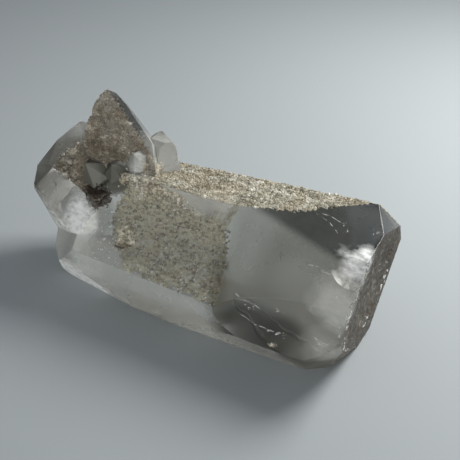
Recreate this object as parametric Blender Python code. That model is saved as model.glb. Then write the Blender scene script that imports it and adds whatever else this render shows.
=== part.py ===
"""Quartz crystal: a stout lying prism with smaller crystals grown on one end.

The long prism lies on one prism face. Its c axis runs along +X towards the
broken base. Smaller crystals stand on the pointed end, and the base end is
chipped by shell-shaped fractures. Everything has grown together, so the
specimen is one solid. Metres, +Z up, origin under the middle of the box that
the specimen fills, on the surface that it lies on.

The dimensions below are in millimetres, in the grower's own frame: x along
the c axis, z up from the resting face. TO_ORIGIN moves that frame's zero to
the origin.
"""
import math

import bmesh
import bpy
from mathutils import Euler, Matrix, Vector
from mathutils.geometry import intersect_plane_plane

MM = 0.001
TO_ORIGIN = (1.35, 5.65, 0.0)
QUARTZ_IOR = 1.544

# --- the long prism: (angle of the face's outward normal about the c axis
# from +Y towards +Z, distance of the face from the axis)
AXIS_Y, AXIS_Z = -5.5, 13.0
PRISM_FACES = {
    "top": (90.0, 13.0),
    "front_upper": (145.8, 13.2),
    "front_lower": (196.2, 17.2),
    "bottom": (270.0, 13.0),
    "back_lower": (325.4, 12.7),
}
RHOMB_TILT = 38.2          # tip faces lean this far in from the prism faces
TIP_X = {                  # where each tip face would meet the c axis
    "top": -33.0,
    "front_upper": -39.6,
    "front_lower": -50.5,
    "bottom": -45.6,
    "back_lower": -42.0,
}
# faces off the six-sided rule, and flat breaks: (point, outward normal)
OTHER_FACES = {
    "back_upper": ((10.0, 0.2, 26.0), (-0.136, 0.810, 0.571)),
    "back_tip": ((-38.5, -2.0, 13.0), (-0.70, 0.65, 0.30)),
    "base": ((34.5, -5.5, 13.0), (0.985, 0.12, -0.10)),
    "foot_left": ((-13.5, -19.3, 0.0), (-0.09, -0.86, -0.50)),
    "foot_right": ((13.9, -18.4, 0.0), (0.07, -0.86, -0.50)),
    "foot_corner": ((31.6, -14.2, 0.0), (0.84, -0.16, -0.52)),
    "foot_chip": ((29.1, -16.4, 0.0), (0.55, -0.65, -0.50)),
    "edge_break": ((9.4, -12.4, 26.0), (0.11, -0.149, 0.983)),
    "top_corner": ((30.8, 3.8, 26.0), (0.75, 0.35, 0.62)),
}
WORN_RADIUS, WORN_STEPS = 7.0, 6   # rounding between front_upper and edge_break
RAW_BLOCK = 160.0          # side of the block that a crystal is cut from

# --- the three bigger crystals on the tip: a point inside, and faces as above
SIDE_CRYSTAL = {
    "middle": (-30.0, -10.0, 18.0),
    "faces": {
        "front": ((-22.1, -21.5, 14.1), (-0.12, -0.89, 0.44)),
        "front_left_strip": ((-34.8, -18.0, 17.7), (-0.32, -0.95, 0.0)),
        "upper_left": ((-38.0, -16.0, 22.2), (-0.30, -0.41, 0.86)),
        "shelf": ((-34.8, -15.0, 23.8), (0.138, -0.193, 0.971)),
        "left": ((-38.0, -16.0, 20.0), (-0.999, -0.02, -0.04)),
        "lower_left": ((-37.8, -17.0, 17.8), (-0.53, -0.05, -0.845)),
        "broken_end": ((-22.1, -21.5, 14.1), (0.92, -0.05, -0.36)),
        "under": ((-29.2, -19.0, 12.4), (0.15, -0.30, -0.95)),
        "right": ((-18.5, -14.0, 24.0), (0.93, 0.35, 0.15)),
        "back": ((-36.0, 0.0, 26.0), (-0.30, 0.95, 0.10)),
    },
}
PEAK_CRYSTAL = {
    "middle": (-23.0, -6.5, 28.0),
    "faces": {
        "front": ((-20.0, -6.6, 35.7), (0.10, -0.87, 0.48)),
        "right_slope": ((-17.5, -6.9, 34.7), (0.56, 0.61, 0.56)),
        "right_slope_high": ((-20.3, -6.1, 36.7), (0.48, 0.60, 0.64)),
        "blunt_top": ((-24.0, -5.0, 38.9), (0.25, -0.10, 0.96)),
        "left_slope": ((-27.8, -8.0, 35.8), (-0.76, -0.15, 0.63)),
        "left": ((-27.8, -8.5, 34.0), (-1.0, 0.05, 0.10)),
        "back": ((-23.0, -5.0, 37.0), (0.0, 0.97, 0.24)),
        "right_end": ((-13.0, -7.0, 31.0), (0.90, 0.20, 0.40)),
        "sunk_end": ((-23.0, -6.0, 22.0), (0.0, 0.0, -1.0)),
    },
}
DOME_CRYSTAL = {
    "middle": (-12.6, -5.5, 28.0),
    "faces": {
        "front": ((-13.6, -8.4, 28.0), (-0.10, -0.92, 0.38)),
        "front_right": ((-10.4, -7.6, 28.6), (0.66, -0.66, 0.36)),
        "right": ((-10.1, -3.7, 28.3), (0.76, 0.62, 0.15)),
        "right_high": ((-11.2, -4.0, 30.6), (0.46, 0.70, 0.55)),
        "top": ((-13.0, -5.6, 31.6), (0.05, -0.05, 0.99)),
        "front_high": ((-12.8, -7.6, 30.6), (0.05, -0.68, 0.73)),
        "left_high": ((-15.5, -5.6, 30.9), (-0.55, -0.10, 0.83)),
        "left": ((-16.6, -5.6, 29.0), (-0.95, -0.10, 0.30)),
        "back": ((-13.0, -2.3, 29.0), (0.0, 0.96, 0.28)),
        "sunk_end": ((-13.0, -5.5, 22.0), (0.0, 0.0, -1.0)),
    },
}
# --- evenly grown small crystals: the tip, the direction of the c axis at the
# tip, the turn of the prism about it in degrees, half width and length
SMALL_CRYSTALS = {
    "little_crystal": dict(tip=(-14.6, -11.8, 30.2), axis=(0.15, -0.62, 0.75), turn=10.0,
                           half_width=2.7, length=8.0),
    "shelf_crystal": dict(tip=(-24.0, -15.6, 27.0), axis=(-0.10, -0.62, 0.78), turn=25.0,
                          half_width=3.0, length=9.0),
    "shelf_crystal_small": dict(tip=(-18.4, -14.2, 27.6), axis=(0.15, -0.62, 0.75), turn=5.0,
                                half_width=2.3, length=8.0),
    "back_crystal": dict(tip=(-30.0, 3.2, 29.0), axis=(-0.25, 0.62, 0.72), turn=15.0,
                         half_width=3.2, length=11.0),
    "back_crystal_small": dict(tip=(-22.5, 4.4, 25.5), axis=(0.20, 0.75, 0.60), turn=40.0,
                               half_width=2.4, length=8.0),
}

# --- shell-shaped fractures: centre and radii of the ball that scoops them
# and its turns about X, Y and Z in degrees
SCOOPS = {
    "front_scoop": dict(centre=(30.0, -27.8, 10.4), radii=(22.5, 10.5, 10.5), turns=(0.0, -9.0, 0.0)),
    "corner_scoop": dict(centre=(35.3, -16.4, 26.3), radii=(6.0, 6.0, 6.0)),
    "base_scoop": dict(centre=(56.0, 0.5, 11.5), radii=(24.0, 24.0, 24.0)),
}
SCOOP_ROUNDS = 5


def quartz_finish():
    """Clear, faintly grey quartz."""
    finish = bpy.data.materials.new("clear_quartz")
    finish.use_nodes = True
    shader = finish.node_tree.nodes["Principled BSDF"]
    shader.inputs["Base Color"].default_value = (0.86, 0.87, 0.86, 1.0)
    shader.inputs["Roughness"].default_value = 0.03
    shader.inputs["Metallic"].default_value = 0.0
    shader.inputs["Transmission Weight"].default_value = 1.0
    shader.inputs["IOR"].default_value = QUARTZ_IOR
    return finish


def raw_block(middle=(0.0, 0.0, 0.0)):
    """A cube of raw material around a point, to cut a crystal from."""
    bm = bmesh.new()
    bmesh.ops.create_cube(bm, size=RAW_BLOCK, matrix=Matrix.Translation(middle))
    return bm


def cut(bm, point, normal):
    """Cut away what lies beyond a plane and close the cut with one face."""
    geom = bm.verts[:] + bm.edges[:] + bm.faces[:]
    done = bmesh.ops.bisect_plane(bm, geom=geom, dist=1e-5, plane_co=point, plane_no=normal,
                                  clear_outer=True)
    rim = [item for item in done["geom_cut"] if isinstance(item, bmesh.types.BMEdge)]
    if rim:
        bmesh.ops.edgeloop_fill(bm, edges=rim)


def wear_edge(bm, first, second, radius, steps):
    """Round the edge between two faces with narrow faces that touch one cylinder."""
    (point_a, way_a), (point_b, way_b) = first, second
    ridge, _ = intersect_plane_plane(point_a, way_a, point_b, way_b)
    axis = ridge - (way_a + way_b) * (radius / (1.0 + way_a.dot(way_b)))
    for k in range(1, steps + 1):
        outward = way_a.slerp(way_b, k / (steps + 1))
        cut(bm, axis + outward * radius, outward)


def finished(name, bm):
    """Turn a mesh in millimetres into an object in metres about the origin."""
    bmesh.ops.transform(bm, matrix=Matrix.Scale(MM, 4) @ Matrix.Translation(TO_ORIGIN), verts=bm.verts)
    mesh = bpy.data.meshes.new(name)
    bm.to_mesh(mesh)
    bm.free()
    obj = bpy.data.objects.new(name, mesh)
    bpy.context.collection.objects.link(obj)
    return obj


def long_prism(name):
    """The main crystal: six prism faces, the tip faces and the broken base."""
    bm = raw_block()
    lean = math.radians(RHOMB_TILT)
    placed = {}
    for face, (angle, distance) in PRISM_FACES.items():
        turn = math.radians(angle)
        outward = Vector((0.0, math.cos(turn), math.sin(turn)))
        placed[face] = (Vector((0.0, AXIS_Y, AXIS_Z)) + outward * distance, outward)
        cut(bm, *placed[face])
        tip_outward = outward * math.cos(lean) + Vector((-math.sin(lean), 0.0, 0.0))
        cut(bm, (TIP_X[face], AXIS_Y, AXIS_Z), tip_outward)
    for face, (point, normal) in OTHER_FACES.items():
        placed[face] = (Vector(point), Vector(normal).normalized())
        cut(bm, *placed[face])
    wear_edge(bm, placed["front_upper"], placed["edge_break"], WORN_RADIUS, WORN_STEPS)
    return finished(name, bm)


def uneven_crystal(name, middle, faces):
    """A crystal of uneven shape, cut face by face."""
    bm = raw_block(middle)
    for point, normal in faces.values():
        cut(bm, point, normal)
    return finished(name, bm)


def even_crystal(name, tip, axis, turn, half_width, length):
    """A six-sided pointed crystal whose lower end is sunk in the group."""
    bm = raw_block()
    lean = math.radians(RHOMB_TILT)
    for k in range(6):
        around = math.radians(60.0 * k)
        outward = Vector((math.cos(around), math.sin(around), 0.0))
        cut(bm, outward * half_width, outward)
        cut(bm, (0.0, 0.0, 0.0), outward * math.cos(lean) + Vector((0.0, 0.0, math.sin(lean))))
    cut(bm, (0.0, 0.0, -length), (0.0, 0.0, -1.0))
    tilt = Vector((0.0, 0.0, 1.0)).rotation_difference(Vector(axis)).to_matrix().to_4x4()
    place = Matrix.Translation(tip) @ tilt @ Matrix.Rotation(math.radians(turn), 4, "Z")
    bmesh.ops.transform(bm, matrix=place, verts=bm.verts)
    return finished(name, bm)


def ball(name, centre, radii, turns=(0.0, 0.0, 0.0)):
    """An ellipsoid, turned about its centre."""
    bm = bmesh.new()
    bmesh.ops.create_icosphere(bm, subdivisions=SCOOP_ROUNDS, radius=1.0)
    turned = Euler([math.radians(angle) for angle in turns]).to_matrix().to_4x4()
    place = Matrix.Translation(centre) @ turned @ Matrix.Diagonal((*radii, 1.0))
    bmesh.ops.transform(bm, matrix=place, verts=bm.verts)
    return finished(name, bm)


def combine(target, tool, operation):
    """Join a grown-on crystal to the specimen, or take a fracture out of it."""
    modifier = target.modifiers.new(tool.name, "BOOLEAN")
    modifier.object = tool
    modifier.operation = operation
    modifier.solver = "EXACT"
    tool.hide_render = True
    tool.display_type = "WIRE"


def main():
    for old in list(bpy.data.objects):
        bpy.data.objects.remove(old, do_unlink=True)
    crystal = long_prism("quartz_crystal")
    crystal.data.materials.append(quartz_finish())
    combine(crystal, uneven_crystal("side_crystal", **SIDE_CRYSTAL), "UNION")
    combine(crystal, uneven_crystal("peak_crystal", **PEAK_CRYSTAL), "UNION")
    for name, shape in SMALL_CRYSTALS.items():
        combine(crystal, even_crystal(name, **shape), "UNION")
    combine(crystal, uneven_crystal("dome_crystal", **DOME_CRYSTAL), "UNION")
    for name, shape in SCOOPS.items():
        combine(crystal, ball(name, **shape), "DIFFERENCE")
    return crystal


if __name__ == "__main__":
    main()
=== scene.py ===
"""Looks for a quartz crystal with sandy druse.

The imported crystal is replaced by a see-through copy with worn edges and
rippled fractures. Druse and dust are crusts: thin sheets with real grains
through them. Haze, grime and frost are films: bare thin sheets that light
partly goes through. Sizes in the settings are metres; places and sizes in the
tables are millimetres, in the crystal's own frame.
"""
import math

import bmesh
import bpy
import numpy as np
from bpy.props import FloatProperty, FloatVectorProperty, IntProperty, PointerProperty
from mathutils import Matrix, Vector, noise
from mathutils.bvhtree import BVHTree


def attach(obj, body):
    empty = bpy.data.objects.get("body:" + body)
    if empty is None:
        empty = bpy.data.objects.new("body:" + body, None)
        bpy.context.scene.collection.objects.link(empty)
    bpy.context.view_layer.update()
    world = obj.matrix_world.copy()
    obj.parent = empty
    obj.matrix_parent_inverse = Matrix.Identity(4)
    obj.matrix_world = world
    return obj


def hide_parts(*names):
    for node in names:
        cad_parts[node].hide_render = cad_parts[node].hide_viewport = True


bl_info = {
    "name": "Quartz Crystal Looks",
    "version": (1, 0, 0),
    "blender": (4, 5, 0),
    "location": "3D View > Sidebar > Quartz",
    "description": "Clear quartz with sandy druse, built round a packed crystal",
    "category": "Object",
}

MM = 0.001
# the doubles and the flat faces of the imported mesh, and what counts as on a cut
DOUBLES, FLAT, ON_CUT = 1e-6, math.radians(0.4), 1e-7
AXES = Vector((1, 0, 0)), Vector((0, 1, 0)), Vector((0, 0, 1))
NODE, BODY, SLOT = "quartz_crystal", "root", "clear_quartz"
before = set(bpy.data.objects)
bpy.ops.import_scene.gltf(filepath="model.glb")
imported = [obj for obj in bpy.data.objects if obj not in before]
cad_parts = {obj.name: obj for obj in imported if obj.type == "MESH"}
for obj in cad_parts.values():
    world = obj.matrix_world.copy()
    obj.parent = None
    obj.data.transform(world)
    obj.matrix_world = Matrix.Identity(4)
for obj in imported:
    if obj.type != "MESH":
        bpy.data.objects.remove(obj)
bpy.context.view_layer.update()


# --------------------------------------------------------------------------
# shader maths
# --------------------------------------------------------------------------
class Wire:
    """A shader output that takes part in arithmetic."""

    def __init__(self, graph, socket):
        self.graph, self.socket = graph, socket

    def maths(self, operation, *values, clamp=False):
        """One Math node on some values, or on this wire alone."""
        settings = {"operation": operation, "use_clamp": clamp}
        return self.graph.node("ShaderNodeMath", settings, dict(enumerate(values or (self,))))

    def __add__(self, other):
        return self.maths("ADD", self, other)

    __radd__ = __add__

    def __sub__(self, other):
        return self.maths("SUBTRACT", self, other)

    def __rsub__(self, other):
        return self.maths("SUBTRACT", other, self)

    def __mul__(self, other):
        return self.maths("MULTIPLY", self, other)

    __rmul__ = __mul__

    def clamped(self):
        """Kept from 0 to 1."""
        return self.maths("ADD", self, 0.0, clamp=True)

    def step(self, low, high):
        """0 below low, 1 above high, smooth between."""
        return self.graph.node(
            "ShaderNodeMapRange", {"interpolation_type": "SMOOTHSTEP"},
            {"Value": self, "From Min": low, "From Max": high}, "Result")


class Graph:
    """A node tree and the one way that nodes are put into it."""

    def __init__(self, tree):
        self.tree = tree

    def node(self, kind, settings=None, inputs=None, out=0):
        """Put in a node: its settings first, then its sockets' values or links."""
        node = self.tree.nodes.new(kind)
        for name, value in (settings or {}).items():
            if name == "stops":
                self.set_stops(node.color_ramp, value)
            else:
                setattr(node, name, value)
        for name, value in (inputs or {}).items():
            self.feed(node.inputs[name], value)
        return Wire(self, node.outputs[out])

    @staticmethod
    def set_stops(ramp, stops):
        """Give a colour ramp its stops: (position, colour) from low to high."""
        while len(ramp.elements) < len(stops):
            ramp.elements.new(1.0)
        for element, (position, colour) in zip(ramp.elements, stops):
            element.position, element.color = position, (*colour, 1.0)

    def feed(self, socket, value):
        """Link a wire to a socket, or set the socket's own value."""
        if isinstance(value, Wire):
            self.tree.links.new(value.socket, socket)
        else:
            if socket.type == "RGBA" and len(value) == 3:
                value = (*value, 1.0)
            socket.default_value = value

    def dot(self, vector, way):
        """How far a vector goes along a direction."""
        return self.node("ShaderNodeVectorMath", {"operation": "DOT_PRODUCT"},
                         {0: vector, 1: Vector(way).normalized()}, "Value")

    def blend(self, factor, first, second, mode="MIX"):
        """Two colours mixed."""
        return self.node("ShaderNodeMix", {"data_type": "RGBA", "blend_type": mode},
                         {"Factor": factor, 6: first, 7: second}, 2)


class Finish(Graph):
    """One material: its nodes, masks and textures, on the object's own coordinates."""

    def __init__(self, name):
        self.material = bpy.data.materials.new(name)
        self.material.use_nodes = True
        super().__init__(self.material.node_tree)
        self.shader = self.tree.nodes["Principled BSDF"]
        self.output = self.tree.nodes["Material Output"]
        self.place = self.node("ShaderNodeTexCoord", out="Object")
        self.normal = self.node("ShaderNodeTexCoord", out="Normal")

    def set(self, **values):
        """Set the shader's sockets, named with _ for a space."""
        for name, value in values.items():
            self.feed(self.shader.inputs[name.replace("_", " ")], value)

    def cloud(self, size, detail, stretch=None):
        """Soft noise from 0 to 1 whose lumps are about size metres."""
        where = self.place
        if stretch:
            where = self.node("ShaderNodeMapping", None, {"Vector": where, "Scale": stretch})
        return self.node("ShaderNodeTexNoise", None,
                         {"Vector": where, "Scale": 1.0 / size, "Detail": detail,
                          "Roughness": 0.55}, "Fac")

    def far_from(self, spot):
        """The distance from a spot that is given in millimetres, in metres."""
        return self.node("ShaderNodeVectorMath", {"operation": "DISTANCE"},
                         {0: self.place, 1: Vector(spot) * MM}, "Value")

    def near(self, spot, radius, soft):
        """1 around a spot, 0 beyond a radius; both in millimetres. Soft is a share."""
        return 1.0 - self.far_from(spot).step(radius * (1 - soft) * MM, radius * (1 + soft) * MM)

    def beyond(self, point, way, soft):
        """1 beyond a plane, 0 before it; all in millimetres."""
        way = Vector(way).normalized()
        start = way.dot(Vector(point)) * MM
        return self.dot(self.place, way).step(start - soft * MM, start + soft * MM)

    def facing(self, way):
        """1 on faces that look one way."""
        return self.dot(self.normal, way).step(0.90, 0.95)

    def tone(self):
        """The mesh's own tone, which each grain and each spot of a film has."""
        return self.node("ShaderNodeAttribute", {"attribute_name": "tone"}, None, "Fac")

    def ramp(self, value, stops):
        """A colour that changes with a value."""
        return self.node("ShaderNodeValToRGB", {"stops": stops}, {"Fac": value}, "Color")

    def spotted(self, colour, spots, mode="MIX"):
        """A colour with soft-edged spots: place, radius, colour and strength."""
        for spot, radius, tint, strength in spots:
            colour = self.blend(self.near(spot, radius, 0.5) * strength, colour, tint, mode)
        return colour

    def bump(self, height, distance, strength):
        """Relief up to distance metres high."""
        return self.node("ShaderNodeBump", None,
                         {"Height": height, "Distance": distance, "Strength": strength},
                         "Normal")


# --------------------------------------------------------------------------
# settings
# --------------------------------------------------------------------------
class QuartzSettings(bpy.types.PropertyGroup):
    tint: FloatVectorProperty(
        name="Tint", description="Colour of the clear quartz", subtype="COLOR",
        size=3, min=0, max=1, default=(0.95, 0.955, 0.93))
    tint_base: FloatVectorProperty(
        name="Tint at the base", description="Colour of the darker end", subtype="COLOR",
        size=3, min=0, max=1, default=(0.44, 0.43, 0.39))
    clearness: FloatProperty(
        name="Clearness", description="How much light goes through; the rest is milky",
        default=0.85, min=0, max=1)
    smoke: FloatVectorProperty(
        name="Smoke", description="Colour that light takes on inside the quartz",
        subtype="COLOR", size=3, min=0, max=1, default=(0.5, 0.5, 0.46))
    smoke_density: FloatProperty(
        name="Smoke density", description="How fast light fades inside, per metre",
        default=18.0, min=0)
    ior: FloatProperty(name="IOR", description="Quartz bends light by this", default=1.544)
    edge: FloatProperty(
        name="Worn edge", description="Width of the wear along the edges",
        default=0.00008, unit="LENGTH")


class DruseSettings(bpy.types.PropertyGroup):
    grain: FloatProperty(
        name="Grain", description="Usual width of a druse grain", default=0.0005,
        unit="LENGTH")
    cell: FloatProperty(
        name="Crust cell", description="Width of the cells that a crust is cut into",
        default=0.0007, unit="LENGTH")
    sheet: FloatProperty(
        name="Sheet", description="Thickness of the crust under the grains", default=0.00006,
        unit="LENGTH")
    lift: FloatProperty(
        name="Lift", description="How far a crust stands out of the crystal",
        default=0.000015, unit="LENGTH")
    seed: IntProperty(name="Seed", description="Seed of the grain places", default=7)


class StudioSettings(bpy.types.PropertyGroup):
    floor_colour: FloatVectorProperty(
        name="Floor", description="Colour of the floor", subtype="COLOR", size=3,
        min=0, max=1, default=(0.43, 0.465, 0.48))
    azimuth: FloatProperty(
        name="Azimuth", description="The camera's direction about +Z", subtype="ANGLE",
        default=math.radians(34))
    elevation: FloatProperty(
        name="Elevation", description="The camera's height as an angle", subtype="ANGLE",
        default=math.radians(31))
    distance: FloatProperty(
        name="Distance", description="From the camera to its target", default=0.19,
        unit="LENGTH")
    field: FloatProperty(
        name="Field of view", description="Across the square frame", subtype="ANGLE",
        default=2 * math.atan(230 / 922))


# --------------------------------------------------------------------------
# shapes
# --------------------------------------------------------------------------
def merged_copy():
    """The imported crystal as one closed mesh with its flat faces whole."""
    bm = bmesh.new()
    bm.from_mesh(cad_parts[NODE].data)
    bmesh.ops.remove_doubles(bm, verts=bm.verts, dist=DOUBLES)
    bmesh.ops.dissolve_limit(bm, angle_limit=FLAT, verts=bm.verts, edges=bm.edges,
                             delimit=set())
    return bm


def finished(name, bm, finish, smooth_angle=None, narrow=0.0007):
    """Turn a bmesh into a piece that rides on the crystal's body.

    With an angle given, narrow faces are smooth across edges blunter than it.
    """
    mesh = bpy.data.meshes.new(name)
    if smooth_angle is not None:
        for face in bm.faces:
            face.smooth = face.calc_area() < narrow * face.calc_perimeter()
        for edge in bm.edges:
            edge.smooth = edge.calc_face_angle(math.pi) < smooth_angle
    bm.to_mesh(mesh)
    bm.free()
    mesh.materials.append(finish.material)
    piece = bpy.data.objects.new(name, mesh)
    bpy.context.scene.collection.objects.link(piece)
    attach(piece, BODY)
    return piece


# --------------------------------------------------------------------------
# finishes
# --------------------------------------------------------------------------
# spots painted into the clear quartz's colour: place, radius, colour and strength.
# The very dark spots low at the right end are painted shade, the shaded floor under
# the crystal seen through it; the others make the colour darker, paler or redder there
TINTS_AND_PAINTED_SHADE = (
    ((-21.5, -9.5, 25.5), 3.6, (0.05, 0.045, 0.036), 0.95),
    ((-16.0, -8.5, 25.5), 2.6, (0.07, 0.06, 0.05), 0.9),
    ((-29.0, -11.8, 19.5), 5.5, (0.06, 0.06, 0.055), 0.95),
    ((-25.0, -15.0, 9.5), 3.2, (0.10, 0.10, 0.09), 0.9),
    ((-34.0, -11.5, 18.0), 3.5, (0.10, 0.10, 0.09), 0.9),
    ((-17.5, -2.0, 33.5), 7.0, (0.32, 0.34, 0.34), 0.8),
    ((-17.0, -12.6, 17.6), 3.4, (0.32, 0.32, 0.29), 0.8),
    ((31.2, -1.8, 24.0), 1.4, (0.30, 0.12, 0.09), 0.6),
    ((28.5, -12.5, 14.0), 1.3, (0.60, 0.45, 0.32), 0.5),
    # painted shade: the shaded floor under the crystal, seen through the lower right
    ((18.0, -14.0, 7.5), 5.5, (0.03, 0.03, 0.024), 0.9),
    ((27.5, -11.5, 18.5), 4.5, (0.62, 0.61, 0.57), 0.8),
    # painted shade, the same, down to the bottom
    ((25.0, -12.5, 7.0), 4.2, (0.03, 0.03, 0.024), 0.85),
    ((22.5, -12.8, 3.4), 4.6, (0.03, 0.03, 0.024), 0.9),
    ((30.0, -12.5, 4.5), 3.0, (0.12, 0.12, 0.11), 0.8),
    ((-9.5, -1.0, 30.0), 2.6, (0.40, 0.40, 0.36), 0.6),
)
FRONT_UP = (0.0, -0.827, 0.562)
# planes below are a point, the way across and the softness
# where the darker base starts, and where the smooth, clear window over the druse ends
BASE_END, WINDOW_END = ((11.0, 0, 0), (1, 0, 0), 3.0), ((12.5, 0, 0), (1, 0, 0), 1.5)
# painted shade: the dark patch under the top edge, where the shaded floor under the
# crystal is seen through the quartz, painted into its colour. Its sides, the way
# inwards; past the band plane the painted shade is bluish
PAINTED_SHADE_WEDGE = (
    ((15.4, -4.8, 25.8), (0.22, 0.635, 0.74), 1.1),
    ((14.0, -5.0, 26.0), (1.0, 0.0, 0.0), 1.5),
    ((0.0, 10.0, 0.0), (0.0, -1.0, 0.0), 1.0),
)
BAND = ((28.6, 4.0, 26.0), (0.863, 0.488, 0.128), 0.9)
# the two colours of that painted shade
WEDGE_SHADE, BAND_SHADE = (0.034, 0.034, 0.028), (0.062, 0.066, 0.070)
# the scooped fracture: its place, radius and softness, the plane that its ribs
# stay under, and the ribs' centre, radii and width
SCOOP, SCOOP_TOP = ((25.5, -13.5, 9.5), 10.5, 0.15), ((0, 0, 14.0), (0, 0, -1), 1.0)
RIB_HEART, RIBS, RIB_WIDTH = (29.5, -14.5, 17.0), (10.5, 14.0), 0.5
CORNER_HEART = (36.6, -6.0, 22.8)


def clear_quartz(settings):
    """Clear, slightly smoky quartz with growth lines, a haze and rippled fractures.

    Painted shade darkens its colour under the top edge and low at the right end.
    """
    finish = Finish("clear_quartz")
    growth = finish.cloud(0.0006, 3.0, stretch=(1.0, 0.06, 0.06))
    haze = finish.cloud(0.008, 3.0)
    colour = finish.blend(finish.beyond(*BASE_END), settings.tint, settings.tint_base)
    # tints, with painted shade low at the right end
    colour = finish.spotted(colour, TINTS_AND_PAINTED_SHADE)
    # painted shade under the top edge, mixed into the colour
    shade_wedge = 1.0
    for side in PAINTED_SHADE_WEDGE:
        shade_wedge = finish.beyond(*side) * shade_wedge
    shade = finish.blend(finish.beyond(*BAND), WEDGE_SHADE, BAND_SHADE)
    colour = finish.blend(shade_wedge * 0.97, colour, shade)
    # fractures: curved ribs round the scoop's heart, and ripples at the corner
    from_heart = finish.far_from(RIB_HEART) + (finish.cloud(0.004, 2.0) - 0.5) * 0.003
    ribs = 0.0
    for radius in RIBS:
        off = (from_heart - radius * MM).maths("ABSOLUTE")
        ribs = (1.0 - off.step(0.0, RIB_WIDTH * MM)) + ribs
    scoop = finish.near(*SCOOP)
    ripple = finish.cloud(0.0009, 2.0, stretch=(0.5, 1.0, 1.6))
    corner = finish.near(CORNER_HEART, 3.6, 0.3)
    height = (growth * 0.003 + ribs * scoop * finish.beyond(*SCOOP_TOP) * 0.3
              + ripple * corner * 0.5)
    # a dull skin, duller in the haze and the scoop, and glassy over the window
    window = finish.facing(FRONT_UP) * (1.0 - finish.beyond(*WINDOW_END))
    skin = 0.24 + haze.step(0.35, 0.75) * (0.12 - window * 0.11)
    finish.set(Base_Color=colour, Roughness=skin - window * 0.21 - shade_wedge * 0.06 + scoop * 0.3,
               IOR=settings.ior, Transmission_Weight=settings.clearness,
               Normal=finish.bump(height, 0.0005, 1.0))
    smoke = finish.tree.nodes.new("ShaderNodeVolumeAbsorption")
    smoke.inputs["Color"].default_value = (*settings.smoke, 1.0)
    smoke.inputs["Density"].default_value = settings.smoke_density
    finish.tree.links.new(smoke.outputs["Volume"], finish.output.inputs["Volume"])
    return finish


def sandy_druse(name, tones):
    """Grains of many tones, the palest of which are glassy and catch the light."""
    finish = Finish(name)
    tone = finish.tone()
    speckle = finish.cloud(0.0003, 2.0)
    shade = finish.cloud(0.005, 3.0)
    lumps = finish.cloud(0.0013, 2.0)
    strokes = finish.cloud(0.0014, 2.0, stretch=(0.45, 1.0, 1.6)).step(0.5, 0.72)
    # each grain's own tone, then finer and broader changes about their middles
    mixed = (tone * 0.7 + (speckle - 0.5) * 0.4 + (lumps - 0.5) * 1.1 + (shade - 0.5) * 0.8
             + strokes * 0.35 + 0.02).clamped()
    colour = finish.ramp(mixed, tones)
    warmth = finish.cloud(0.0045, 2.0).step(0.45, 0.62) * 0.5
    colour = finish.blend(warmth, colour, (0.97, 0.88, 0.78), "MULTIPLY")
    # darker and paler spots, with painted shade, sheen and shadow
    colour = finish.spotted(colour, STAINS_AND_PAINTED_LIGHT, "MULTIPLY")
    finish.set(Base_Color=colour,
               Roughness=0.75 - tone.step(0.75, 0.95) * 0.55,
               Normal=finish.bump(speckle, 0.00008, 0.5))
    return finish


def thin_film(name, colour, uneven):
    """A film of fine cracks or dust, as dense as its tone says. Some films are also painted sheen
    and highlights.
    """
    finish = Finish(name)
    ripple = finish.cloud(0.0009, 3.0, stretch=(0.6, 1.0, 1.5))
    patchy = 1.0 + (ripple - 0.5) * (2.0 * uneven)
    finish.set(Base_Color=colour, Alpha=(finish.tone() * patchy).clamped(), Roughness=0.5,
               Normal=finish.bump(ripple, 0.0004, uneven * 0.5))
    return finish


# --------------------------------------------------------------------------
# clear crystal
# --------------------------------------------------------------------------
def wear(bm, width, sharp=math.radians(24), long=12):
    """Bevel the edges that are sharp and many widths long."""
    edges = [e for e in bm.edges
             if e.calc_face_angle(0) > sharp and e.calc_length() > long * width]
    bmesh.ops.bevel(bm, geom=edges, offset=width, offset_type="OFFSET", segments=2, profile=0.5,
                    affect="EDGES", material=-1, clamp_overlap=False)


class QUARTZ_OT_clear_body(bpy.types.Operator):
    """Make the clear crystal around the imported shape"""
    bl_idname = "quartz.clear_body"
    bl_label = "Clear crystal"

    def execute(self, context):
        settings = context.scene.quartz
        bm = merged_copy()
        wear(bm, settings.edge)
        piece = finished("clear_crystal", bm, clear_quartz(settings), math.radians(15))
        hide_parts(NODE)
        return {"FINISHED"}


# --------------------------------------------------------------------------
# crusts, films and chips
# --------------------------------------------------------------------------
# how far under the surface a sealed layer stops, and well inside any zone
SEALED_DEPTH, WELL_INSIDE = 0.9, 10.0
# each sheet lies higher than the last by this share of the lift
LAYER_STEP = 0.1
# the palest that a sheet is under its grains, and the least cover that is kept
SHEET_TONE, LEAST_CRUST, LEAST_FILM = 0.6, 0.55, 0.01
# from the least to the most: a grain's width, its shape along each axis and its corners
GRAIN_WIDTH, GRAIN_SHAPE, GRAIN_CORNER = (0.45, 1.35), (0.7, 1.2), (0.8, 1.2)
# how far a chip turns from its line, and its thickness as a share of its width
CHIP_STRAY, CHIP_THICKNESS = 0.12, 0.6


def cut(bm, point, way, clear=False):
    """Cut a whole mesh along a plane, and drop what is past it if asked."""
    bmesh.ops.bisect_plane(bm, geom=bm.verts[:] + bm.edges[:] + bm.faces[:], dist=ON_CUT,
                           plane_co=point, plane_no=way, clear_outer=clear)


def rolling(place, wide, fine):
    """Smooth noise about 0, at two scales per millimetre."""
    return noise.noise(place * wide) + 0.5 * noise.noise(place * fine)


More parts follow.
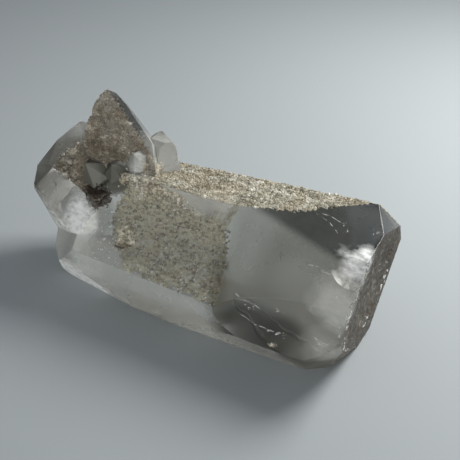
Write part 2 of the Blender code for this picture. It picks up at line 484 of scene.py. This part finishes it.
def crust_cells(bm, zone, cell):
    """Keep the faces that face a zone's ways and cut them into small cells."""
    least = zone.get("least", 0.9995)
    ways = [Vector(way).normalized() for way in zone.get("facing", ())]
    other = [f for f in bm.faces if ways and max(f.normal.dot(way) for way in ways) < least]
    bmesh.ops.delete(bm, geom=other, context="FACES")
    for axis, across in enumerate(AXES):
        if all(abs(f.normal[axis]) > 0.9 for f in bm.faces):
            continue
        low = min(v.co[axis] for v in bm.verts)
        high = max(v.co[axis] for v in bm.verts)
        for k in range(1, int((high - low) / cell) + 1):
            cut(bm, across * (low + k * cell), across)


def trimmed(bm, zone):
    """Cut away what is outside the boxes round a zone's balls."""
    for centre, radius in zone.get("balls", ()):
        middle = Vector(centre) * MM
        reach = (radius + zone["fade"] * 0.5 + zone["wobble"]) * MM
        for axis in AXES:
            for way in (-1.0, 1.0):
                cut(bm, middle + axis * way * reach, axis * way, clear=True)


def depth_inside(surface, place):
    """How deep a place is inside the crystal; below 0 outside. Millimetres."""
    spot, out = surface.find_nearest(place * MM)[:2]
    return (spot / MM - place).dot(out)


def coverage(place, zone, surface):
    """How much of the crust there is at a place: 1 inside its zone, 0 outside."""
    inside = WELL_INSIDE
    if "sealed" in zone:
        inside = depth_inside(surface, place) - SEALED_DEPTH
    for point, inward in zone.get("sides", ()):
        inside = min(inside, (place - Vector(point)).dot(Vector(inward).normalized()))
    for centre, radius in zone.get("balls", ()):
        inside = min(inside, radius - (place - Vector(centre)).length)
    inside += zone["wobble"] * rolling(place, 0.35, 1.1)
    return min(max(inside / zone["fade"] + 0.5, 0.0), 1.0)


def grain_mesh(points, size, tones, rng, spin=None):
    """Small angular grains at points, joined from one shape, each turned by its spin."""
    one = bmesh.new()
    bmesh.ops.create_icosphere(one, subdivisions=1, radius=0.5)
    shape = np.array([v.co for v in one.verts])
    faces = np.array([[v.index for v in f.verts] for f in one.faces])
    one.free()
    count = len(points)
    if spin is None:
        turn = rng.normal(size=(4, count))
        w, x, y, z = turn / np.linalg.norm(turn, axis=0)
        spin = np.array([
            [1 - 2 * (y * y + z * z), 2 * (x * y - z * w), 2 * (x * z + y * w)],
            [2 * (x * y + z * w), 1 - 2 * (x * x + z * z), 2 * (y * z - x * w)],
            [2 * (x * z - y * w), 2 * (y * z + x * w), 1 - 2 * (x * x + y * y)]])
    widths = size * rng.uniform(*GRAIN_WIDTH, count)[:, None]
    widths = widths * rng.uniform(*GRAIN_SHAPE, (count, 3))
    jagged = shape[None] * widths[:, None] * rng.uniform(*GRAIN_CORNER, (count, len(shape), 1))
    corners = np.einsum("ijn,nvj->nvi", spin, jagged) + points[:, None]
    ids = faces[None] + (np.arange(count) * len(shape))[:, None, None]
    mesh = bpy.data.meshes.new("grains")
    mesh.from_pydata(corners.reshape(-1, 3).tolist(), [], ids.reshape(-1, 3).tolist())
    mesh.attributes.new("tone", "FLOAT", "POINT").data.foreach_set(
        "value", np.repeat(tones, len(shape)).astype(np.float32))
    return mesh


def sealed_sheet(corners):
    """One flat face, given by its corners in millimetres."""
    bm = bmesh.new()
    bm.faces.new([bm.verts.new(Vector(corner) * MM) for corner in corners])
    bm.normal_update()
    return bm


def thickened(bm, thickness):
    """Give a bare sheet a back and sides.

    The back is a copy of the front pushed inwards, because solidify draws
    spikes out of small, thin cut pieces.
    """
    bm.normal_update()
    front = bm.verts[:]
    rims = [(edge.link_loops[0].vert, edge.link_loops[0].link_loop_next.vert)
            for edge in bm.edges if edge.is_boundary]
    made = bmesh.ops.duplicate(bm, geom=bm.verts[:] + bm.edges[:] + bm.faces[:])
    twin = made["vert_map"]
    for v in front:
        twin[v].co = v.co - v.normal * thickness
    bmesh.ops.reverse_faces(bm, faces=[g for g in made["geom"]
                                       if isinstance(g, bmesh.types.BMFace)])
    for start, end in rims:
        bm.faces.new((end, start, twin[start], twin[end]))


def strewn(bm, cover, spacing, rng):
    """Points on the faces, about spacing apart where the crust is whole."""
    triangles = bm.calc_loop_triangles()
    t = np.array([[loop.vert.co for loop in triangle] for triangle in triangles])
    area = np.linalg.norm(np.cross(t[:, 1] - t[:, 0], t[:, 2] - t[:, 0]), axis=1) / 2
    chance = area * np.array([cover[triangle[0].face] for triangle in triangles])
    count = int(chance.sum() / spacing ** 2)
    t = t[rng.choice(len(t), count, p=chance / chance.sum())]
    along, aside = rng.random((2, count, 1))
    far = along + aside > 1
    along, aside = np.where(far, 1 - along, along), np.where(far, 1 - aside, aside)
    return t[:, 0] + along * (t[:, 1] - t[:, 0]) + aside * (t[:, 2] - t[:, 0])


def crystal_surface():
    """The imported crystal's surface, for finding the nearest place on it."""
    bm = merged_copy()
    surface = BVHTree.FromBMesh(bm)
    bm.free()
    return surface


def crust(name, zone, finish, layer, settings, rng):
    """A thin sheet on part of the crystal: a crust with grains through it, or a bare film.

    No two sheets are in one plane: each layer lies a little higher than the last one.
    """
    surface = crystal_surface()
    bm = sealed_sheet(zone["sealed"]) if "sealed" in zone else merged_copy()
    trimmed(bm, zone)
    crust_cells(bm, zone, settings.cell)
    relief, film = zone.get("relief", 0.0), zone.get("film", 0.0)
    tone = bm.verts.layers.float.new("tone")
    for v in bm.verts:
        place = v.co / MM
        cover = coverage(place, zone, surface)
        rise = rolling(place, 0.9, 2.1) + 0.35
        lift = settings.lift * (1 + LAYER_STEP * layer) + max(rise, 0.0) * relief * cover * MM
        v.co += v.normal * lift
        v[tone] = film * cover if film else rng.random() * SHEET_TONE
    bm.normal_update()
    cover = {f: coverage(f.calc_center_median() / MM, zone, surface) for f in bm.faces}
    meshes = []
    for spacing, grain in zone.get("grains", ()):
        points = strewn(bm, cover, settings.grain * spacing, rng)
        meshes.append(grain_mesh(points, settings.grain * grain, rng.random(len(points)), rng))
    least = zone.get("least_cover", LEAST_FILM if film else LEAST_CRUST)
    bmesh.ops.delete(bm, geom=[f for f in bm.faces if cover[f] < least], context="FACES")
    thickened(bm, settings.sheet)
    for mesh in meshes:
        bm.from_mesh(mesh)
        bpy.data.meshes.remove(mesh)
    return finished(name, bm, finish)


def chips(name, lines, finish, rng):
    """Slivers along lines on the crystal's surface, each lying along its line."""
    surface = crystal_surface()
    points, sizes, frames = [], [], []
    for line, count, spread, length, width in lines:
        corners = np.array(line, float)
        for t in rng.random(count) * (len(corners) - 1):
            k = min(int(t), len(corners) - 2)
            run = corners[k + 1] - corners[k]
            place = corners[k] + run * (t - k) + rng.normal(size=3) * spread
            spot, out = surface.find_nearest(Vector(place) * MM)[:2]
            along = Vector(run / np.linalg.norm(run) + rng.normal(size=3) * CHIP_STRAY)
            along = (along - out * along.dot(out)).normalized()
            points.append(spot)
            frames.append((along, out.cross(along), out))
            sizes.append((length * MM, width * MM, width * MM * CHIP_THICKNESS))
    mesh = grain_mesh(np.array(points), np.array(sizes), rng.random(len(points)), rng,
                      np.array(frames).transpose(2, 1, 0))
    bm = bmesh.new()
    bm.from_mesh(mesh)
    bpy.data.meshes.remove(mesh)
    return finished(name, bm, finish)


# the ways that the crystal's faces look
FEET = (-0.09, -0.86, -0.50), (0.07, -0.86, -0.50)
FRONT_LOW, TIP_FRONT = (0.0, -0.960, -0.279), (-0.618, -0.755, -0.219)
TIP_UP = (-0.618, -0.650, 0.442)
UP, BACK_UP, BASE_WAY = (0, 0, 1), (-0.136, 0.810, 0.571), (0.988, 0.12, -0.10)
EDGE_BREAK, SHELF = (0.110, -0.149, 0.983), (0.138, -0.193, 0.971)
PEAK_FRONT, PEAK_LEFT = (0.100, -0.871, 0.481), (-0.994, 0.050, 0.099)
PEAK_HIGH_LEFT, PEAK_BACK = (-0.76, -0.15, 0.63), (0, 0.971, 0.240)
# the zone of each crust and film, from the lowest sheet to the highest:
#   finish        its material
#   facing        which way its faces look, and least, how closely they must
#   sealed        the corners of a flat layer inside the crystal, used instead of faces
#   sides, balls  its border: points and the ways inwards, centres and radii
#   wobble, fade  how uneven and how soft that border is
#   relief        how high it swells
#   grains        spacings and widths, in usual grains
#   least_cover   the least cover where its sheet is kept; above 1 there is none
#   film          how dense it is, if it is a film
ZONES = {
    "druse_top": dict(
        finish="sand", facing=[UP, EDGE_BREAK],
        sides=[((30.0, 0, 26), (-1, 0.1, 0)), ((4.2, -6.7, 26), (0.05, 1, 0)),
               ((14.0, -4.0, 26), (-0.48, 1, 0)), ((23.3, 1.8, 26), (-0.85, 0.9, 0))],
        wobble=0.35, fade=0.6, relief=0.15, grains=[(0.5, 0.7), (2.0, 1.3)]),
    "druse_back_upper": dict(
        finish="sand", facing=[BACK_UP],
        sides=[((28.0, 0, 0), (-1, 0, 0.3)), ((-25.0, 0, 0), (1, 0, 0)), ((0, 0, 22.5), (0, 0, 1))],
        wobble=2.2, fade=1.5, relief=0.15, grains=[(0.6, 0.85), (2.4, 1.6)]),
    "druse_over_edge": dict(
        finish="sand", facing=[FRONT_UP],
        sides=[((0, 0, 23.2), (0.06, 0, 1)), ((-9.5, 0, 0), (-1, 0, 0.4)),
               ((-16.8, 0, 0), (1, 0, 0))],
        wobble=1.2, fade=1.6, relief=0.1, grains=[(0.55, 0.75), (2.4, 1.5)]),
    # painted light: the sealed druse uses a palette painted paler than the sand on top
    "druse_sealed": dict(
        finish="inner",
        sealed=[(-26, 13.2, 13.1), (-26, -16.7, 10.8), (16, -16.7, 10.8), (16, 13.2, 13.1)],
        sides=[((-22.2, 9.3, 12), (0.955, 0.292, 0)), ((-17.7, -5.4, 12), (0.759, 0.651, 0)),
               ((13.4, -16.2, 12), (-0.953, -0.302, 0)), ((6.4, 2.1, 12), (-0.927, -0.375, 0))],
        wobble=1.0, fade=1.8, relief=0.5, grains=[(0.62, 0.86), (1.4, 1.6)]),
    "flecks": dict(
        finish="bright", facing=[FRONT_UP],
        sides=[((-15.5, 0, 12), (0.95, 0, 0.2)), ((11.5, 0, 12), (-1, 0, -0.1)),
               ((0, 0, 22.0), (0, 0, -1)), ((0, 0, 11.0), (0, 0, 1))],
        wobble=1.5, fade=3.0, least_cover=2.0, grains=[(1.9, 0.5)]),
    "base_rind": dict(
        finish="rind", facing=[BASE_WAY], least=0.75, sides=[((33.6, 0, 13), BASE_WAY)],
        wobble=0.2, fade=0.8, grains=[(0.62, 0.35)]),
    "dust_peak": dict(
        finish="dust", facing=[PEAK_FRONT, PEAK_LEFT, PEAK_HIGH_LEFT, PEAK_BACK],
        sides=[((-16.9, -2.0, 34.0), (-0.56, -0.61, -0.56)),
               ((-19.5, -1.2, 36.0), (-0.48, -0.60, -0.64)),
               ((-22.6, 0.6, 38.0), (-0.25, 0.10, -0.96))],
        wobble=0.3, fade=0.8, relief=0.5, grains=[(0.5, 0.6), (2.4, 1.2)]),
    "dust_shelf": dict(
        finish="dust", facing=[SHELF], sides=[((-32.3, 0, 0), (1, 0, 0))],
        wobble=1.0, fade=1.0, relief=0.9, grains=[(0.52, 0.65), (2.4, 1.4)]),
    "dust_dome": dict(
        finish="sand", balls=[((-10.6, -4.4, 26.6), 1.9)],
        wobble=0.8, fade=2.0, relief=0.3, grains=[(0.7, 0.7)]),
    # painted shade: near-black grains in the hollow, where shade falls
    "painted_shade_hollow": dict(
        finish="dark", balls=[((-18.8, -11.2, 21.5), 2.5)],
        wobble=0.5, fade=1.2, grains=[(0.55, 0.6)]),
    "lump": dict(
        finish="sand", facing=[FRONT_UP], balls=[((-9.8, -13.4, 16.4), 2.2)],
        wobble=1.2, fade=1.2, relief=0.6, grains=[(0.5, 0.7), (1.5, 1.4)]),
    "film_dome": dict(finish="milk", balls=[((-10.5, -2.6, 29.2), 5.0)],
                      sides=[((0, 0, 26.6), (0, 0, 1))], wobble=0.5, fade=3.0, film=0.38),
    "film_veil": dict(finish="veil", balls=[((-27.5, -7.0, 27.0), 7.5)],
                      sides=[((0, 0, 25.0), (0, 0, 1))], wobble=1.0, fade=6.0, film=0.6),
    "film_side": dict(finish="milk", balls=[((-26.0, -13.5, 17.5), 9.0)],
                      sides=[((-20.0, 0, 23.6), (0, 0, -1)), ((-18.6, 0, 0), (-1, 0, 0))],
                      wobble=0.5, fade=3.0, film=0.28),
    "frost_side": dict(finish="frost", balls=[((-21.4, -14.2, 17.0), 3.9)],
                       wobble=1.2, fade=2.2, film=0.9),
    "film_left": dict(finish="grime", balls=[((-35.0, -8.0, 23.0), 8.5)],
                      sides=[((-28.0, 0, 21.0), (-0.5, 0, 0.8))],
                      wobble=1.0, fade=4.0, film=0.3),
    "film_tip": dict(finish="milk", facing=[FRONT_UP, TIP_UP],
                     sides=[((-15.0, 0, 12.0), (-0.95, 0, -0.3))], wobble=1.5, fade=7.0,
                     film=0.32),
    # white frost on the rippled corner, partly a painted highlight: it stands in for the light that
    # the fracture there reflects
    "frost_and_painted_highlight_corner": dict(finish="frost", balls=[(CORNER_HEART, 3.3)],
                         wobble=1.6, fade=2.6, film=0.75),
    "frost_little": dict(finish="frost", balls=[((-12.4, -5.6, 26.9), 2.2)],
                         wobble=0.6, fade=1.6, film=0.22),
    # painted reflection: a milky film that stands in for the sky's sheen near the top edge
    "painted_sheen_film": dict(finish="milk", facing=[(0.05, -0.55, 0.83)], least=0.85,
                      sides=[((0, 0, 23.8), (0, 0, 1)), ((-6.0, 0, 0), (1, 0, 0)),
                             ((10.0, 0, 0), (-1, 0, 0))], wobble=0.8, fade=1.8, film=0.38),
    "film_shelf": dict(finish="grime", balls=[((-21.3, -9.5, 25.2), 4.0)],
                       wobble=0.4, fade=1.0, film=0.78),
    "film_shelf_small": dict(finish="grime", balls=[((-16.6, -8.8, 25.0), 3.2)],
                             wobble=0.4, fade=1.0, film=0.72),
    "film_right": dict(finish="milk", balls=[((35.6, -12.6, 17.0), 4.6)],
                       wobble=1.0, fade=4.0, film=0.6),
    "film_low_right": dict(finish="milk", balls=[((33.6, -12.4, 7.0), 3.4)],
                           wobble=1.0, fade=4.0, film=0.3),
    "film_low_left": dict(finish="milk", facing=[FRONT_LOW, TIP_FRONT],
                          sides=[((12.0, 0, 5.0), (-1, 0, -0.6)), ((0, 0, 0.2), (0, 0, 1))],
                          wobble=1.0, fade=5.0, film=0.22),
    # a pale worn edge along the feet, partly a painted highlight of that edge
    "film_feet_and_painted_highlight": dict(finish="milk", facing=FEET, sides=[((26.0, 0, 0), (-1, 0, 0))],
                      wobble=1.5, fade=3.0, film=0.3),
    # a white worn edge at the left of the feet, partly a painted highlight of that edge
    "frost_foot_and_painted_highlight": dict(finish="frost", facing=FEET, sides=[((-15.0, 0, 0), (-1, 0, 0))],
                       wobble=1.5, fade=4.0, film=1.0),
    "film_rim": dict(finish="milk", balls=[((37.6, -9.8, 20.0), 1.3)],
                     wobble=1.5, fade=1.5, film=0.6),
}
# the grains' colours, from the darkest tone to the palest
TONES = {
    "sand": ((0.0, (0.21, 0.19, 0.14)), (0.3, (0.42, 0.39, 0.30)), (0.65, (0.67, 0.64, 0.54)),
             (1.0, (0.94, 0.92, 0.84))),
    # painted light: the sealed sand, painted much paler than the sand on top to make up for the
    # little light that reaches it inside the quartz
    "inner": ((0.0, (0.24, 0.20, 0.09)), (0.3, (0.72, 0.65, 0.41)), (0.6, (1.0, 0.97, 0.73)),
              (1.0, (1.0, 1.0, 0.90))),
    "dust": ((0.0, (0.16, 0.14, 0.11)), (0.35, (0.29, 0.265, 0.215)), (0.7, (0.43, 0.40, 0.34)),
             (1.0, (0.75, 0.72, 0.64))),
    "rind": ((0.0, (0.07, 0.062, 0.05)), (0.5, (0.16, 0.148, 0.128)), (1.0, (0.42, 0.405, 0.37))),
    "dark": ((0.0, (0.025, 0.018, 0.014)), (0.5, (0.075, 0.058, 0.045)), (1.0, (0.20, 0.17, 0.13))),
    "bright": ((0.0, (0.65, 0.66, 0.66)), (1.0, (0.97, 0.98, 0.98))),
}
# the films' colours, and how uneven they are
FILMS = {
    "frost": ((0.98, 0.99, 0.97), 1.1),
    "milk": ((0.80, 0.80, 0.75), 0.2),
    "grime": ((0.15, 0.148, 0.12), 0.1),
    "veil": ((0.15, 0.13, 0.105), 0.5),
}
# darker and paler spots in the druse: place, radius, colour and strength. Three of
# them are painted light and shade: in the hollow, near the top edge and under the lump
STAINS_AND_PAINTED_LIGHT = (
    ((1.0, -3.0, 26.0), 1.6, (0.60, 0.55, 0.48), 0.9),
    ((-22.0, -7.0, 27.0), 5.0, (0.55, 0.52, 0.48), 0.6),
    # painted shade in the hollow
    ((-19.8, -10.6, 22.6), 2.6, (0.17, 0.13, 0.10), 1.0),
    # painted sheen: the sky's pale, bluish reflection near the top edge
    ((-11.0, -8.0, 24.6), 3.0, (1.25, 1.26, 1.34), 0.9),
    # painted shadow under the lump
    ((-9.4, -14.4, 14.9), 1.1, (0.40, 0.38, 0.33), 0.8),
)
# slivers: corners of a line, how many, their spread, length and width. Most are
# pale chips; those along the base's outline and on the bottom edge at the left are
# painted highlights
CHIPS_AND_PAINTED_GLINTS = (
    (((16.7, -15.1, 14.0), (18.2, -14.8, 13.1), (21.2, -13.0, 10.7)), 14, 0.04, 0.9, 0.09),
    (((18.4, -14.0, 11.3), (20.7, -13.0, 10.1)), 9, 0.35, 0.4, 0.19),
    (((17.3, -14.0, 8.9), (19.5, -13.4, 7.4), (22.9, -12.8, 6.8)), 16, 0.04, 0.9, 0.09),
    (((22.0, -12.8, 6.8), (26.2, -12.4, 6.8)), 12, 0.25, 0.45, 0.19),
    (((23.2, -13.0, 11.6), (25.4, -12.8, 11.9)), 7, 0.4, 0.35, 0.15),
    (((31.5, -11.9, 8.3), (34.5, -12.1, 8.0)), 10, 0.12, 0.8, 0.17),
    (((32.2, -12.0, 7.8), (35.3, -11.6, 6.4)), 10, 0.12, 0.8, 0.17),
    (((35.3, -12.1, 9.4), (36.4, -9.8, 6.4)), 9, 0.25, 0.5, 0.15),
    (((33.1, -12.1, 18.4), (35.8, -11.8, 18.9)), 12, 0.3, 0.4, 0.15),
    (((28.2, -9.8, 21.8), (30.7, -9.6, 21.9)), 5, 0.2, 0.5, 0.08),
    (((31.3, -9.9, 21.5), (33.0, -9.9, 21.2), (34.6, -9.7, 20.8)), 12, 0.1, 0.6, 0.10),
    (((34.6, -9.7, 20.8), (36.4, -10.6, 20.0), (37.0, -11.6, 18.4)), 12, 0.25, 0.5, 0.13),
    # painted highlights along the base's outline
    (((34.2, 4.2, 25.0), (35.8, 1.4, 24.4)), 6, 0.4, 0.35, 0.14),
    (((34.9, 8.6, 22.0), (34.7, 13.2, 17.0)), 6, 0.3, 0.4, 0.14),
    (((22.7, 0.9, 25.8), (26.2, 1.3, 25.5), (30.2, 0.8, 25.0)), 14, 0.04, 1.0, 0.06),
    (((24.0, 0.4, 25.7), (27.0, -0.2, 25.4), (29.8, -2.0, 24.7)), 12, 0.04, 1.0, 0.06),
    (((29.9, 1.2, 25.0), (31.0, -1.2, 24.4)), 8, 0.35, 0.35, 0.12),
    (((37.3, -6.0, 21.4), (37.2, -8.2, 18.2), (37.2, -11.0, 14.8), (36.8, -11.3, 10.5)), 34, 0.3,
     0.9, 0.36),
    (((36.8, -11.3, 10.5), (36.4, -9.6, 6.0), (35.6, -6.0, 3.4)), 14, 0.3, 0.8, 0.34),
    # painted highlights along the base's outline, lower down
    (((34.4, 11.8, 15.6), (34.0, 11.5, 10.1), (34.0, 9.5, 7.4)), 12, 0.25, 0.7, 0.36),
    (((34.4, 4.8, 4.7), (34.9, 1.0, 4.4)), 8, 0.3, 0.7, 0.36),
    # painted highlight on the bottom edge at the left
    (((-27.0, -11.7, 1.3), (-24.7, -12.9, 1.0), (-20.5, -13.9, 1.0)), 30, 0.2, 1.4, 0.32),
    (((-29.4, -13.7, 15.6), (-27.8, -14.2, 15.2), (-25.3, -15.0, 14.5), (-21.5, -15.7, 14.3)), 36,
     0.1, 1.2, 0.26),
    (((-18.4, -12.8, 19.6), (-18.9, -13.6, 18.5), (-20.2, -14.7, 16.0), (-21.3, -15.5, 14.4)), 28,
     0.2, 0.8, 0.3),
)
# dark cracks, the same way; the first line is a painted shadow: dark slivers in the
# crevice under the lump
CRACKS_AND_PAINTED_SHADOW = (
    (((-12.0, -14.9, 13.9), (-10.2, -14.6, 14.2), (-8.3, -14.2, 15.0)), 22, 0.12, 0.9, 0.34),
    (((36.4, -10.6, 20.0), (37.0, -11.6, 18.4)), 9, 0.15, 0.7, 0.06),
    (((37.0, -11.6, 18.4), (36.9, -12.8, 15.5), (36.6, -12.9, 13.8)), 14, 0.1, 0.8, 0.09),
    (((37.2, -8.4, 18.6), (37.2, -11.2, 15.0), (36.8, -11.5, 10.8)), 18, 0.2, 0.9, 0.09),
    (((33.2, -12.2, 17.6), (34.8, -12.6, 16.8)), 7, 0.1, 0.7, 0.05),
    (((34.0, -5.4, 23.7), (34.6, -6.4, 23.2)), 6, 0.15, 0.6, 0.07),
    (((22.6, -9.6, 22.2), (23.0, -10.3, 21.0)), 7, 0.05, 0.5, 0.06),
    (((17.1, -9.3, 22.6), (17.4, -9.4, 22.4)), 3, 0.05, 0.2, 0.12),
)


class QUARTZ_OT_druse(bpy.types.Operator):
    """Grow the sandy druse, the brown dust, the films and the chips"""
    bl_idname = "quartz.druse"
    bl_label = "Druse, films and chips"

    def execute(self, context):
        settings = context.scene.druse
        rng = np.random.default_rng(settings.seed)
        finishes = {key: sandy_druse(key + "_grains", tones) for key, tones in TONES.items()}
        finishes.update({key: thin_film(key + "_film", *film) for key, film in FILMS.items()})
        for layer, (name, zone) in enumerate(ZONES.items()):
            crust(name, zone, finishes[zone["finish"]], layer, settings, rng)
        # chips, and the painted glints along the base and the bottom edge
        chips("chips", CHIPS_AND_PAINTED_GLINTS, finishes["bright"], rng)
        # dark cracks, and the painted shadow under the lump
        chips("cracks", CRACKS_AND_PAINTED_SHADOW, finishes["dark"], rng)
        return {"FINISHED"}


# --------------------------------------------------------------------------
# studio
# --------------------------------------------------------------------------
# the camera's target, in millimetres, and the floor's half width and depth, in metres
TARGET, FLOOR_HALF, FLOOR_DEPTH = (1.35, 5.65, 12.0), 3.0, -0.00005
# lamps, in metres and watts: name, place, width, power and colour
LAMPS = (
    ("window", (0.078, 0.165, 0.18), 0.12, 0.65, (1.0, 0.99, 0.97)),
    ("fill", (0.45, -0.75, 0.10), 0.40, 4.2, (1.0, 0.98, 0.96)),
)


def soft_lamp(name, place, size, power, colour):
    """A round area lamp that shines on the crystal."""
    lamp = bpy.data.lights.new(name, "AREA")
    lamp.shape, lamp.size, lamp.energy, lamp.color = "DISK", size, power, colour
    obj = bpy.data.objects.new(name, lamp)
    bpy.context.scene.collection.objects.link(obj)
    obj.location = place
    obj.rotation_euler = (-Vector(place)).to_track_quat("-Z", "Y").to_euler()


class QUARTZ_OT_studio(bpy.types.Operator):
    """Lay the floor and set the lamps and the camera"""
    bl_idname = "quartz.studio"
    bl_label = "Studio"

    def execute(self, context):
        scene = context.scene
        settings = scene.studio
        bm = bmesh.new()
        bmesh.ops.create_grid(bm, x_segments=1, y_segments=1, size=FLOOR_HALF)
        mesh = bpy.data.meshes.new("floor")
        bmesh.ops.translate(bm, verts=bm.verts, vec=(0, 0, FLOOR_DEPTH))
        bm.to_mesh(mesh)
        bm.free()
        floor = bpy.data.objects.new("floor", mesh)
        scene.collection.objects.link(floor)
        matte = Finish("pale_floor")
        matte.set(Base_Color=settings.floor_colour, Roughness=0.7)
        mesh.materials.append(matte.material)

        # a pale sky, brightest high up behind the crystal
        world = bpy.data.worlds.new("studio")
        world.use_nodes = True
        sky = Graph(world.node_tree)
        back = sky.dot(sky.node("ShaderNodeTexCoord", out="Generated"), (0.2, 0.75, 0.6))
        light = world.node_tree.nodes["Background"]
        sky.feed(light.inputs["Color"], (0.88, 0.95, 1.0))
        sky.feed(light.inputs["Strength"], back.step(-0.6, 0.9) * 0.16 + 0.145)
        scene.world = world
        for lamp in LAMPS:
            soft_lamp(*lamp)
        scene.view_settings.view_transform = "Standard"

        turn, lift = settings.azimuth, settings.elevation
        away = Vector((math.sin(turn) * math.cos(lift), -math.cos(turn) * math.cos(lift),
                       math.sin(lift)))
        lens = bpy.data.cameras.new("camera")
        lens.sensor_width = 36.0
        lens.angle = settings.field
        lens.clip_start = 0.005
        camera = bpy.data.objects.new("camera", lens)
        scene.collection.objects.link(camera)
        camera.location = Vector(TARGET) * MM + away * settings.distance
        camera.rotation_euler = (-away).to_track_quat("-Z", "Y").to_euler()
        scene.camera = camera
        return {"FINISHED"}


class QUARTZ_PT_panel(bpy.types.Panel):
    bl_idname = "QUARTZ_PT_panel"
    bl_label = "Quartz crystal"
    bl_space_type = "VIEW_3D"
    bl_region_type = "UI"
    bl_category = "Quartz"

    def draw(self, context):
        for operator in OPERATORS:
            self.layout.operator(operator.bl_idname)


OPERATORS = (QUARTZ_OT_clear_body, QUARTZ_OT_druse, QUARTZ_OT_studio)
SETTINGS = {"quartz": QuartzSettings, "druse": DruseSettings, "studio": StudioSettings}


def register():
    for group in SETTINGS.values():
        bpy.utils.register_class(group)
    for name, group in SETTINGS.items():
        setattr(bpy.types.Scene, name, PointerProperty(type=group))
    for item in (*OPERATORS, QUARTZ_PT_panel):
        bpy.utils.register_class(item)


def unregister():
    for item in reversed((*OPERATORS, QUARTZ_PT_panel)):
        bpy.utils.unregister_class(item)
    for name, group in SETTINGS.items():
        delattr(bpy.types.Scene, name)
        bpy.utils.unregister_class(group)


def main():
    register()
    bpy.ops.quartz.clear_body()
    bpy.ops.quartz.druse()
    bpy.ops.quartz.studio()


if __name__ == "__main__":
    main()
